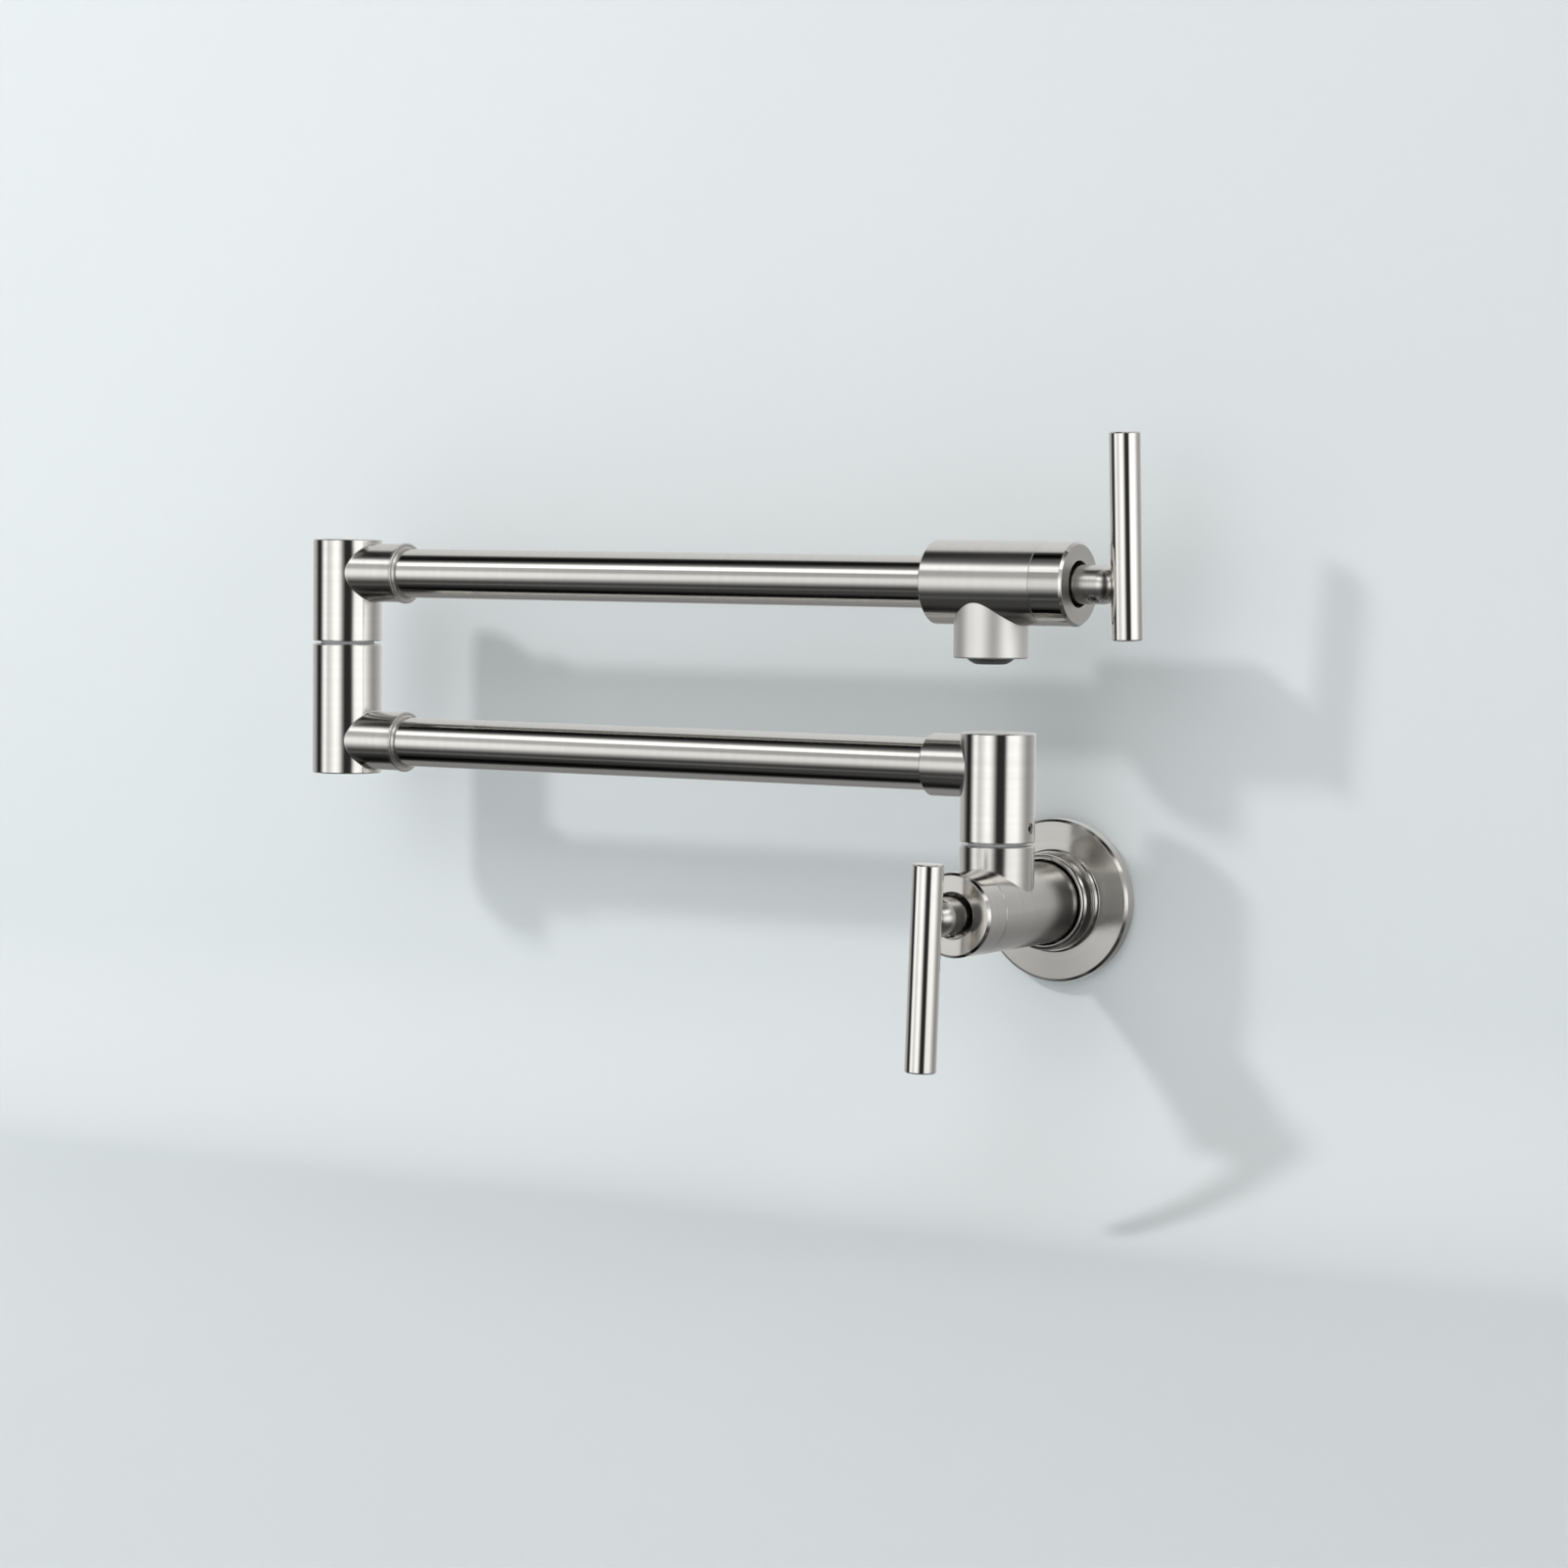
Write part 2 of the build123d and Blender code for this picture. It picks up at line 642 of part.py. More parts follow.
# Handle hub: drive socket, domed end coped to the bar, tenon into the bar.
def handle_hub(valve, bar_turn, grub_turn):
    handle = handle_frame(valve, bar_turn)
    grub = sideways(valve, bonnet_width + hub_grub, grub_turn)
    with BuildPart() as piece:
        with BuildSketch(section(valve)):
            with BuildLine():
                Polyline(
                    (hub_od / 2, dome_rise),
                    (hub_od / 2, hub_start),
                    (0, hub_start),
                    (0, dome_rise + hub_od / 2),
                )
                CenterArc((0, dome_rise), hub_od / 2, 0, 90)
            make_face()
        revolve(axis=axis_of(valve))
        with BuildSketch(sideways(handle, 0).offset(-hub_od)):
            Circle(bar_od / 2 + running_gap)
        extrude(amount=2 * hub_od, mode=Mode.SUBTRACT)
        with BuildSketch(valve.offset(dome_rise)):
            Circle(tenon_od / 2)
        extrude(amount=bar_stand - hub_length - tenon_stop)
        with BuildSketch(valve.offset(hub_start)):
            RegularPolygon(drive_across / 2 + running_gap, drive_sides)
        extrude(amount=stem_top + slip_gap - hub_start, mode=Mode.SUBTRACT)
        with BuildSketch(grub):
            Circle(grub_od / 2 + thread_gap)
        extrude(amount=hub_od, mode=Mode.SUBTRACT)
        chamfer(round_edges(piece, hub_od).sort_by(axis_of(valve))[0], edge_break)
    return piece


# T-bar: plain round bar set off-centre on the hub, drilled for the tenon.
def handle_bar(valve, turn):
    handle = handle_frame(valve, turn)
    with BuildPart() as piece:
        with BuildSketch(sideways(handle, 0).offset(bar_offset - bar_length / 2)):
            Circle(bar_od / 2)
        extrude(amount=bar_length)
        chamfer(piece.edges().filter_by(GeomType.CIRCLE), bar_edge)
        with BuildSketch(handle.offset(-tenon_stop)):
            Circle(tenon_od / 2 + thread_gap)
        extrude(amount=-bar_od, mode=Mode.SUBTRACT)
    return piece


# The two valves have the same bonnet, cartridge and handle.
for name, valve, bar_turn, grub_turn in (
    ("wall", wall_valve, wall_bar_angle, wall_grub_angle),
    ("spout", spout_valve, spout_bar_angle, spout_grub_angle),
):
    save(bonnet(valve), f"{name}_bonnet")
    save(cartridge_body(valve), f"{name}_cartridge_body")
    land_ring_only = o_rings(valve, cartridge_ring_middle, cartridge_ring_section, [land_ring])
    save(land_ring_only, f"{name}_cartridge_o_ring")
    seat = valve.offset(-chamber_depth)
    save(ring(seat, disc_od - 2 * seal_wall, disc_od, seal_height), f"{name}_seat_seal")
    save(ported_disc(valve, -barrel_foot, 0), f"{name}_fixed_disc")
    save(moving_disc(valve), f"{name}_moving_disc")
    save(stem(valve), f"{name}_stem")
    save(handle_hub(valve, bar_turn, grub_turn), f"{name}_handle_hub")
    save(handle_bar(valve, bar_turn), f"{name}_handle_bar")
    grub = sideways(valve, bonnet_width + hub_grub, grub_turn)
    hub_screw = grub_screw(grub, drive_across / 2 + thread_gap, hub_od / 2 - grub_recess)
    save(hub_screw, f"{name}_handle_grub_screw")

# Aerator: domed housing screwed into the nozzle, a washer behind it and a screen in its mouth.
housing_depth = aerator_seat - aerator_washer_height
screen_od = aerator_mouth_od - 2 * slip_gap
dome_foot = aerator_mouth_od / 2 + aerator_rim

with BuildPart() as aerator_housing:
    with BuildSketch(section(nozzle_frame)):
        with BuildLine():
            Polyline(
                (dome_foot, aerator_proud),
                (aerator_mouth_od / 2, aerator_proud),
                (aerator_mouth_od / 2, -housing_depth),
                (aerator_od / 2, -housing_depth),
                (aerator_od / 2, 0),
            )
            SagittaArc((aerator_od / 2, 0), (dome_foot, aerator_proud), -aerator_bulge)
        make_face()
    revolve(axis=axis_of(nozzle_frame))
    with BuildSketch(nozzle_frame.offset(aerator_proud - screen_recess - screen_height - aerator_lip)):
        Circle(aerator_mouth_od / 2)
        Circle(aerator_mouth_od / 2 - aerator_lip_width, mode=Mode.SUBTRACT)
    extrude(amount=aerator_lip)
save(aerator_housing, "aerator_housing")

with BuildPart() as aerator_screen:
    with BuildSketch(nozzle_frame.offset(aerator_proud - screen_recess)):
        Circle(screen_od / 2)
        Circle(screen_hole_od / 2, mode=Mode.SUBTRACT)
        for hole_radius, hole_count in screen_rings:
            with PolarLocations(hole_radius, hole_count):
                Circle(screen_hole_od / 2, mode=Mode.SUBTRACT)
    extrude(amount=-screen_height)
save(aerator_screen, "aerator_screen")

washer_seat = nozzle_frame.offset(-aerator_seat)
aerator_washer = ring(washer_seat, outlet_bore, aerator_od - 2 * slip_gap, aerator_washer_height)
save(aerator_washer, "aerator_washer")
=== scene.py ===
from math import cos, radians, sin

import bmesh
import bpy
from mathutils import Matrix, Vector


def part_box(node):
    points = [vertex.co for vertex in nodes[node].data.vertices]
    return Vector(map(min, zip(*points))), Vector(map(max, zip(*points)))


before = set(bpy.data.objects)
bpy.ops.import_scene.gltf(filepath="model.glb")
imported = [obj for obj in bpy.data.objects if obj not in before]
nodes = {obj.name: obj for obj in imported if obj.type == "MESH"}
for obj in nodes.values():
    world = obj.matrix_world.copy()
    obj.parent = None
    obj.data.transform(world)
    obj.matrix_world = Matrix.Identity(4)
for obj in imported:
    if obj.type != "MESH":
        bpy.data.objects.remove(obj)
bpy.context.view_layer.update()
scene = bpy.context.scene
scene.view_settings.view_transform = "Standard"


# Places on the tap's axes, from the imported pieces
HAIR = 0.00005


def middle_of(node):
    low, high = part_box(node)
    return (low + high) / 2


def just_outside(node):
    """Radius a hair larger than that of a round piece, by its size from front to back."""
    low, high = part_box(node)
    return (high.y - low.y) / 2 + HAIR


SHOULDER = middle_of("shoulder_washer")
ELBOW = middle_of("elbow_washer")
LOWER_ARM = middle_of("lower_arm_tube")
UPPER_ARM = middle_of("upper_arm_tube")
NOZZLE = middle_of("aerator_housing")
INLET = middle_of("wall_flange")
KNUCKLE_SIDE = just_outside("elbow_lower_knuckle")
BODY_SIDE = just_outside("spout_bonnet")
ALONG_X = (1.0, 0.0, 0.0)
ALONG_Y = (0.0, 1.0, 0.0)
ALONG_Z = (0.0, 0.0, 1.0)


# Small helpers for node trees
def add_node(tree, kind, **settings):
    node = tree.nodes.new(kind)
    for name, value in settings.items():
        setattr(node, name, value)
    return node


def feed(tree, socket, source):
    """Link a socket to the source, or set a plain value on it."""
    if isinstance(source, bpy.types.NodeSocket):
        tree.links.new(source, socket)
    elif source is not None:
        socket.default_value = source


def maths(tree, operation, first, second=None, third=None):
    node = add_node(tree, "ShaderNodeMath", operation=operation)
    for socket, source in zip(node.inputs, (first, second, third)):
        feed(tree, socket, source)
    return node.outputs[0]


def vectors(tree, operation, first, second=None):
    node = add_node(tree, "ShaderNodeVectorMath", operation=operation)
    feed(tree, node.inputs[0], first)
    feed(tree, node.inputs[1], second)
    return node.outputs["Value" if operation in ("DOT_PRODUCT", "LENGTH") else "Vector"]


def scaled(tree, vector, factor):
    node = add_node(tree, "ShaderNodeVectorMath", operation="SCALE")
    feed(tree, node.inputs[0], vector)
    feed(tree, node.inputs["Scale"], factor)
    return node.outputs["Vector"]


def stretch(tree, value, low, high):
    """Map a span of a value to 0 to 1, held at the ends."""
    node = add_node(tree, "ShaderNodeMapRange")
    for name, source in zip(("Value", "From Min", "From Max"), (value, low, high)):
        feed(tree, node.inputs[name], source)
    return node.outputs["Result"]


def blend_colour(tree, share, first, second):
    node = add_node(tree, "ShaderNodeMix", data_type="RGBA")
    feed(tree, node.inputs[0], share)
    feed(tree, node.inputs[6], first)
    feed(tree, node.inputs[7], second)
    return node.outputs[2]


def blend_vector(tree, share, first, second):
    node = add_node(tree, "ShaderNodeMix", data_type="VECTOR")
    feed(tree, node.inputs[0], share)
    feed(tree, node.inputs[4], first)
    feed(tree, node.inputs[5], second)
    return node.outputs[1]


def blend_value(tree, share, first, second):
    node = add_node(tree, "ShaderNodeMix", data_type="FLOAT")
    feed(tree, node.inputs[0], share)
    feed(tree, node.inputs[2], first)
    feed(tree, node.inputs[3], second)
    return node.outputs[0]


def noise(tree, place, scale, detail=2.0, roughness=0.5, dimensions="3D"):
    node = add_node(tree, "ShaderNodeTexNoise", noise_dimensions=dimensions)
    feed(tree, node.inputs["W" if dimensions == "1D" else "Vector"], place)
    node.inputs["Scale"].default_value = scale
    node.inputs["Detail"].default_value = detail
    node.inputs["Roughness"].default_value = roughness
    return node.outputs[0]


def new_group(name, inputs, outputs):
    group = bpy.data.node_groups.new(name, "ShaderNodeTree")
    for socket, kind, value in inputs:
        made = group.interface.new_socket(socket, in_out="INPUT", socket_type=kind)
        if value is not None:
            made.default_value = value
    for socket, kind in outputs:
        group.interface.new_socket(socket, in_out="OUTPUT", socket_type=kind)
    return group, group.nodes.new("NodeGroupInput").outputs, group.nodes.new("NodeGroupOutput").inputs


# Brushing: fine lines that run round a turned piece, and broader ones among them
BROAD_SCALE = 0.07
BROAD_SHARE = 0.35
STREAK_SPAN = (0.3, 0.7)
brushing, given, out = new_group(
    "brushing",
    [("Line Place", "NodeSocketFloat", 0.0), ("Line Pitch", "NodeSocketFloat", 0.00025)],
    [("Streak", "NodeSocketFloat"), ("Height", "NodeSocketFloat")],
)
line = maths(brushing, "DIVIDE", given["Line Place"], given["Line Pitch"])
fine = noise(brushing, line, 1.0, detail=3.0, roughness=0.6, dimensions="1D")
broad = noise(brushing, line, BROAD_SCALE, dimensions="1D")
streak = blend_value(brushing, BROAD_SHARE, fine, broad)
feed(brushing, out["Streak"], stretch(brushing, streak, *STREAK_SPAN))
feed(brushing, out["Height"], fine)

# Handling marks: broad soft cloudiness of a used metal face
MARK_SPAN = (0.42, 0.68)
handling, given, out = new_group(
    "handling_marks",
    [("Place", "NodeSocketVector", None), ("Size", "NodeSocketFloat", 0.02)],
    [("Mark", "NodeSocketFloat")],
)
spread = scaled(handling, given["Place"], maths(handling, "DIVIDE", 1.0, given["Size"]))
clouds = noise(handling, spread, 1.0, detail=4.0, roughness=0.55)
feed(handling, out["Mark"], stretch(handling, clouds, *MARK_SPAN))

# Edge polish: corners are a little round, and rubbed brighter than the faces beside them
EDGE_SPAN = (0.995, 0.9)
edge_polish, given, out = new_group(
    "edge_polish",
    [("Width", "NodeSocketFloat", 0.0004)],
    [("Edge", "NodeSocketFloat"), ("Normal", "NodeSocketVector")],
)
rounded = add_node(edge_polish, "ShaderNodeBevel", samples=6)
feed(edge_polish, rounded.inputs["Radius"], given["Width"])
flat = add_node(edge_polish, "ShaderNodeNewGeometry")
turned = vectors(edge_polish, "DOT_PRODUCT", rounded.outputs[0], flat.outputs["Normal"])
feed(edge_polish, out["Edge"], stretch(edge_polish, turned, *EDGE_SPAN))
feed(edge_polish, out["Normal"], rounded.outputs[0])


def use_group(tree, group, **values):
    node = add_node(tree, "ShaderNodeGroup", node_tree=group)
    for name, value in values.items():
        feed(tree, node.inputs[name.replace("_", " ")], value)
    return node.outputs


def start_material(name):
    material = bpy.data.materials.new(name)
    material.use_nodes = True
    tree = material.node_tree
    shader = tree.nodes["Principled BSDF"]
    place = add_node(tree, "ShaderNodeTexCoord")
    return material, tree, shader, place


def add_bump(tree, shader, height, strength, depth, corners=None):
    """Fine relief of a surface, on top of its rounded corners where it has them."""
    bump = add_node(tree, "ShaderNodeBump")
    bump.inputs["Strength"].default_value = strength
    bump.inputs["Distance"].default_value = depth
    feed(tree, bump.inputs["Height"], height)
    feed(tree, bump.inputs["Normal"], corners)
    feed(tree, shader.inputs["Normal"], bump.outputs[0])


def turned_about(tree, place, middle, axis):
    """Way round an axis, radius, and place across the brush lines."""
    arm = vectors(tree, "SUBTRACT", place.outputs["Object"], tuple(middle))
    around = vectors(tree, "CROSS_PRODUCT", axis, arm)
    radius = vectors(tree, "LENGTH", around)
    line = maths(tree, "ADD", vectors(tree, "DOT_PRODUCT", arm, axis), radius)
    return around, radius, line


# How squarely a face looks along the axis before it starts to count as an end face, and counts in full
FACE_SPAN = (0.85, 0.98)


def end_face(tree, place, axis):
    """Mask of the faces that look along an axis."""
    along = maths(tree, "ABSOLUTE", vectors(tree, "DOT_PRODUCT", place.outputs["Normal"], axis))
    return stretch(tree, along, *FACE_SPAN)


# Brush lines of the nickel: pitch, how much smoother they are than the gaps, and bump strength and depth
LINE_PITCH = 0.00022
LINE_SWING = 0.03
LINE_BUMP = (0.08, 0.00002)

# Handling marks of the nickel: size, size on the T-bars, share of their tone, and added roughness
MARK_SIZE = 0.018
BAR_MARK_SIZE = 0.012
MARK_SHARE = 0.2
MARK_HAZE = 0.02

# Rubbed edges of the nickel: width and roughness, and beside them the roughness of the polished T-bars
EDGE_WIDTH = 0.0003
EDGE_ROUGHNESS = 0.12
BAR_ROUGHNESS = 0.025

# Ring at the end of the elbow's collars: its width, where it starts, and how far its corners are rounded
RING_WIDTH = 0.00105
RING_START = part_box("elbow_lower_knuckle")[1].x - RING_WIDTH
RING_ROUNDING = 0.0007

# Tones of the nickel: in and on the brush lines, handled, pale (partly painted light), rubbed at the edges,
# and polished
IN_LINE = (0.688, 0.668, 0.634)
ON_LINE = (0.754, 0.734, 0.702)
HANDLED = (0.678, 0.660, 0.634, 1)
PALE = (0.87, 0.85, 0.82, 1)
RUBBED = (0.85, 0.83, 0.80, 1)
POLISHED = (0.765, 0.740, 0.707, 1)
POLISHED_HANDLED = (0.735, 0.712, 0.684, 1)


# Painted shade: the nickel's tone darkened by a factor, so that the piece renders darker than the rest of
# the nickel
def with_painted_shade(tone, painted_shade):
    return (*(part * painted_shade for part in tone), 1)


# Brushed nickel, turned about one axis and, past a given radius, about a second one
def brushed_nickel(name, middle, axis, roughness, face_roughness, anisotropy, painted_shade, side=None,
                   ringed=False):
    material, tree, shader, place = start_material(name)
    here = place.outputs["Object"]
    around, radius, line = turned_about(tree, place, middle, axis)
    face = end_face(tree, place, axis)
    dull = roughness
    width = EDGE_WIDTH
    if side:
        side_middle, side_axis, limit, side_roughness, paleness, lengthwise = side
        side_around, _, side_line = turned_about(tree, place, side_middle, side_axis)
        past = maths(tree, "GREATER_THAN", radius, limit)
        around = blend_vector(tree, past, around, side_around)
        line = blend_value(tree, past, line, side_line)
        face = blend_value(tree, past, face, end_face(tree, place, side_axis))
        dull = blend_value(tree, past, roughness, side_roughness)
    across = vectors(tree, "CROSS_PRODUCT", around, place.outputs["Normal"])
    if side and lengthwise:
        across = blend_vector(tree, past, across, side_around)
    turn = add_node(tree, "ShaderNodeVectorTransform", vector_type="VECTOR",
                    convert_from="OBJECT", convert_to="WORLD")
    feed(tree, turn.inputs[0], vectors(tree, "NORMALIZE", across))
    feed(tree, shader.inputs["Tangent"], turn.outputs[0])
    lines = use_group(tree, brushing, Line_Place=line, Line_Pitch=LINE_PITCH)
    marks = use_group(tree, handling, Place=here, Size=MARK_SIZE)["Mark"]
    if ringed:
        on_ring = maths(tree, "GREATER_THAN", vectors(tree, "DOT_PRODUCT", here, side_axis), RING_START)
        width = blend_value(tree, on_ring, EDGE_WIDTH, RING_ROUNDING)
    corners = use_group(tree, edge_polish, Width=width)
    # Tones between and on the brush lines, darkened by the piece's painted shade
    tone = blend_colour(tree, lines["Streak"], with_painted_shade(IN_LINE, painted_shade), with_painted_shade(ON_LINE, painted_shade))
    tone = blend_colour(tree, maths(tree, "MULTIPLY", marks, MARK_SHARE), tone, HANDLED)
    # Paler tone past the side radius, on the nozzle end: partly its satin finish, partly painted light that
    # makes it render brighter
    if side and paleness:
        tone = blend_colour(tree, maths(tree, "MULTIPLY", past, paleness), tone, PALE)
    feed(tree, shader.inputs["Base Color"], blend_colour(tree, corners["Edge"], tone, RUBBED))
    dull = maths(tree, "ADD", blend_value(tree, face, dull, face_roughness), LINE_SWING / 2)
    dull = maths(tree, "MULTIPLY_ADD", lines["Streak"], -LINE_SWING, dull)
    dull = maths(tree, "MULTIPLY_ADD", marks, MARK_HAZE, dull)
    feed(tree, shader.inputs["Roughness"], blend_value(tree, corners["Edge"], dull, EDGE_ROUGHNESS))
    add_bump(tree, shader, lines["Height"], *LINE_BUMP, corners["Normal"])
    shader.inputs["Metallic"].default_value = 1.0
    shader.inputs["Anisotropic"].default_value = anisotropy
    return material


# Polished nickel of the T-bars: clear reflections under a little handling haze
def polished_nickel(name):
    material, tree, shader, place = start_material(name)
    marks = use_group(tree, handling, Place=place.outputs["Object"], Size=BAR_MARK_SIZE)["Mark"]
    corners = use_group(tree, edge_polish, Width=EDGE_WIDTH)
    tone = blend_colour(tree, marks, POLISHED, POLISHED_HANDLED)
    feed(tree, shader.inputs["Base Color"], blend_colour(tree, corners["Edge"], tone, RUBBED))
    feed(tree, shader.inputs["Roughness"], maths(tree, "MULTIPLY_ADD", marks, MARK_HAZE, BAR_ROUGHNESS))
    feed(tree, shader.inputs["Normal"], corners["Normal"])
    shader.inputs["Metallic"].default_value = 1.0
    return material


# Machined metal of the inner pieces: pitch of the tool lines, how much smoother they are than the gaps,
# and bump strength and depth
TOOL_PITCH = 0.0004
TOOL_SWING = 0.08
TOOL_BUMP = (0.25, 0.00004)


def machined(name, tone, deep_tone, roughness, middle, axis):
    material, tree, shader, place = start_material(name)
    _, _, line = turned_about(tree, place, middle, axis)
    lines = use_group(tree, brushing, Line_Place=line, Line_Pitch=TOOL_PITCH)
    feed(tree, shader.inputs["Base Color"], blend_colour(tree, lines["Streak"], deep_tone, tone))
    feed(tree, shader.inputs["Roughness"],
         maths(tree, "MULTIPLY_ADD", lines["Streak"], -TOOL_SWING, roughness))
    add_bump(tree, shader, lines["Height"], *TOOL_BUMP)
    shader.inputs["Metallic"].default_value = 1.0
    return material


# Moulded plastic, rubber and fired ceramic: size of the worn spots, their added roughness, bump strength
WORN_SIZE = 0.006
WORN_SWING = 0.12
GRAIN_BUMP = 0.4


def moulded(name, tone, worn_tone, roughness, grain, depth):
    material, tree, shader, place = start_material(name)
    here = place.outputs["Object"]
    marks = use_group(tree, handling, Place=here, Size=WORN_SIZE)["Mark"]
    feed(tree, shader.inputs["Base Color"], blend_colour(tree, marks, tone, worn_tone))
    feed(tree, shader.inputs["Roughness"], maths(tree, "MULTIPLY_ADD", marks, WORN_SWING, roughness))
    add_bump(tree, shader, noise(tree, here, 1.0 / grain, detail=3.0, roughness=0.6), GRAIN_BUMP, depth)
    return material


def finish_nodes(material, *names):
    for name in names:
        for slot in nodes[name].material_slots:
            slot.material = material


# Finishes: roughness of the turned sides, roughness of the end faces, stretch along the brush lines, and
# painted shade that darkens the tone
TUBE = (0.11, 0.30, 0.75, 1.0)
BODY = (0.15, 0.32, 0.75, 1.0)
SPOUT = (0.19, 0.32, 0.75, 1.0)
# The flange and the hubs have painted shade: their nickel's tone is darkened so that they render darker
FLANGE = (0.13, 0.15, 0.6, 0.82)
WALL_BONNET = (0.07, 0.12, 0.0, 1.0)
SPOUT_BONNET = (0.07, 0.40, 0.0, 1.0)
HUB = (0.24, 0.30, 0.0, 0.95)

# Pieces that stand out sideways: roughness, paleness (on the nozzle end partly its satin finish and partly
# painted light), and whether they are brushed lengthwise
COLLAR = (0.17, 0.0, False)
NOZZLE_END = (0.36, 0.7, True)
BOSS = (0.22, 0.0, False)

finish_nodes(brushed_nickel("nickel_flange", INLET, ALONG_Y, *FLANGE), "wall_flange")
finish_nodes(
    brushed_nickel("nickel_inlet", INLET, ALONG_Y, *BODY, (SHOULDER, ALONG_Z, BODY_SIDE, *BOSS)),
    "inlet_body",
)
finish_nodes(brushed_nickel("nickel_wall_bonnet", INLET, ALONG_Y, *WALL_BONNET), "wall_bonnet")
finish_nodes(brushed_nickel("nickel_wall_hub", INLET, ALONG_Y, *HUB), "wall_handle_hub")
for name, knuckle, arm, ringed, piece in (
    ("nickel_shoulder", SHOULDER, LOWER_ARM, False, "shoulder_knuckle"),
    ("nickel_lower_elbow", ELBOW, LOWER_ARM, True, "elbow_lower_knuckle"),
    ("nickel_upper_elbow", ELBOW, UPPER_ARM, True, "elbow_upper_knuckle"),
):
    collar = (arm, ALONG_X, KNUCKLE_SIDE, *COLLAR)
    finish_nodes(brushed_nickel(name, knuckle, ALONG_Z, *BODY, collar, ringed), piece)
finish_nodes(brushed_nickel("nickel_lower_tube", LOWER_ARM, ALONG_X, *TUBE), "lower_arm_tube")
finish_nodes(brushed_nickel("nickel_upper_tube", UPPER_ARM, ALONG_X, *TUBE), "upper_arm_tube")
finish_nodes(
    brushed_nickel("nickel_spout", UPPER_ARM, ALONG_X, *SPOUT, (NOZZLE, ALONG_Z, BODY_SIDE, *NOZZLE_END)),
    "spout_body",
)
finish_nodes(brushed_nickel("nickel_spout_bonnet", UPPER_ARM, ALONG_X, *SPOUT_BONNET), "spout_bonnet")
finish_nodes(brushed_nickel("nickel_spout_hub", UPPER_ARM, ALONG_X, *HUB), "spout_handle_hub")
finish_nodes(polished_nickel("nickel_bars"), "wall_handle_bar", "spout_handle_bar")

# Machined finishes: tone on and between the tool lines, and roughness between them
BRASS = ((0.72, 0.57, 0.30, 1), (0.62, 0.47, 0.23, 1), 0.33)
STEEL = ((0.50, 0.50, 0.51, 1), (0.38, 0.38, 0.39, 1), 0.35)
finish_nodes(machined("brass_shoulder", *BRASS, SHOULDER, ALONG_Z), "shoulder_spigot")
finish_nodes(machined("brass_elbow", *BRASS, ELBOW, ALONG_Z), "elbow_spigot")
finish_nodes(machined("brass_wall_valve", *BRASS, INLET, ALONG_Y), "wall_cartridge_body", "wall_stem")
finish_nodes(machined("brass_spout_valve", *BRASS, UPPER_ARM, ALONG_X),
             "spout_cartridge_body", "spout_stem")
finish_nodes(
    machined("steel_screws", *STEEL, SHOULDER, ALONG_Z),
    "shoulder_grub_screw", "elbow_grub_screw", "wall_handle_grub_screw", "spout_handle_grub_screw",
)

# Moulded finishes: tone, worn tone, roughness, and size and depth of the grain
RUBBER = ((0.028, 0.028, 0.028, 1), (0.045, 0.045, 0.044, 1), 0.55, 0.0005, 0.00004)
WASHER = ((0.88, 0.91, 0.96, 1), (0.83, 0.86, 0.92, 1), 0.35, 0.0008, 0.00002)
CERAMIC = ((0.86, 0.85, 0.82, 1), (0.80, 0.79, 0.76, 1), 0.12, 0.0004, 0.000005)
AERATOR = ((0.030, 0.031, 0.034, 1), (0.050, 0.051, 0.054, 1), 0.3, 0.0006, 0.00003)
finish_nodes(
    moulded("black_rubber", *RUBBER),
    "flange_gasket", "flange_o_ring", "shoulder_o_rings", "elbow_o_rings", "wall_seat_seal",
    "spout_seat_seal", "wall_cartridge_o_ring", "spout_cartridge_o_ring", "aerator_washer",
)
finish_nodes(moulded("white_washer", *WASHER), "shoulder_washer", "elbow_washer")
finish_nodes(
    moulded("fired_ceramic", *CERAMIC),
    "wall_fixed_disc", "wall_moving_disc", "spout_fixed_disc", "spout_moving_disc",
)
finish_nodes(moulded("black_aerator", *AERATOR), "aerator_housing", "aerator_screen")

# Studio: one pale sheet, upright behind the flange and coved into the floor
SHEET_Y = 0.0006
SHEET_TOP = 4.0
HALF_WIDTH = 6.0
FLOOR_Z = -0.121
FLOOR_FRONT = -1.2
COVE = 0.085
COVE_STEPS = 24

sheet = bmesh.new()
foot = [sheet.verts.new((-HALF_WIDTH, y, z)) for y, z in
        ((FLOOR_FRONT, FLOOR_Z), (SHEET_Y, FLOOR_Z), (SHEET_Y, SHEET_TOP))]
edges = [sheet.edges.new(pair) for pair in zip(foot, foot[1:])]
made = bmesh.ops.extrude_edge_only(sheet, edges=edges)
far = [part for part in made["geom"] if isinstance(part, bmesh.types.BMVert)]
bmesh.ops.translate(sheet, verts=far, vec=(2 * HALF_WIDTH, 0, 0))
corner = [edge for edge in sheet.edges
          if all(abs(v.co.y - SHEET_Y) + abs(v.co.z - FLOOR_Z) < HAIR for v in edge.verts)]
bmesh.ops.bevel(sheet, geom=corner, offset=COVE, affect="EDGES", segments=COVE_STEPS, profile=0.5,
                material=-1)
for face in sheet.faces:
    face.smooth = True
    if face.normal.y - face.normal.z > 0:
        face.normal_flip()
sheet_mesh = bpy.data.meshes.new("studio_sheet")
sheet.to_mesh(sheet_mesh)
sheet.free()
studio_sheet = bpy.data.objects.new("studio_sheet", sheet_mesh)
scene.collection.objects.link(studio_sheet)
studio_sheet.visible_glossy = False

